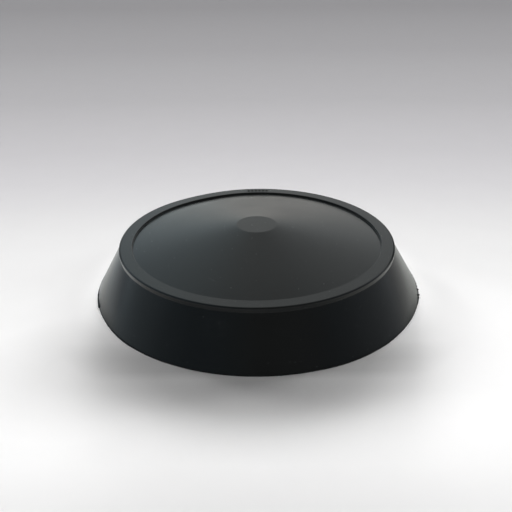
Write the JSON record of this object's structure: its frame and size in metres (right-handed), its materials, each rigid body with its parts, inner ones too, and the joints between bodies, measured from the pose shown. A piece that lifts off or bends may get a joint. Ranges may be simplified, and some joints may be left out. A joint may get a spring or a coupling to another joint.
{
  "type": "rubber tube end cap",
  "caption": "Round moulded rubber cap that closes a tube's end: flat rim, shallow raised crown with a flat centre disc, and a flared skirt open underneath.",
  "frame": {"origin": "centre of the skirt's lower edge, on the tube's axis, in the plane that the cap stands on", "axes": "+Z along the tube's axis, from the open end towards the closed end"},
  "size_m": [0.139, 0.139, 0.0278],
  "materials": {
    "cap_rubber": "black moulded rubber with a smooth satin surface"
  },
  "bodies": {
    "root": {"end_cap": "cap_rubber"}
  },
  "joints": []
}
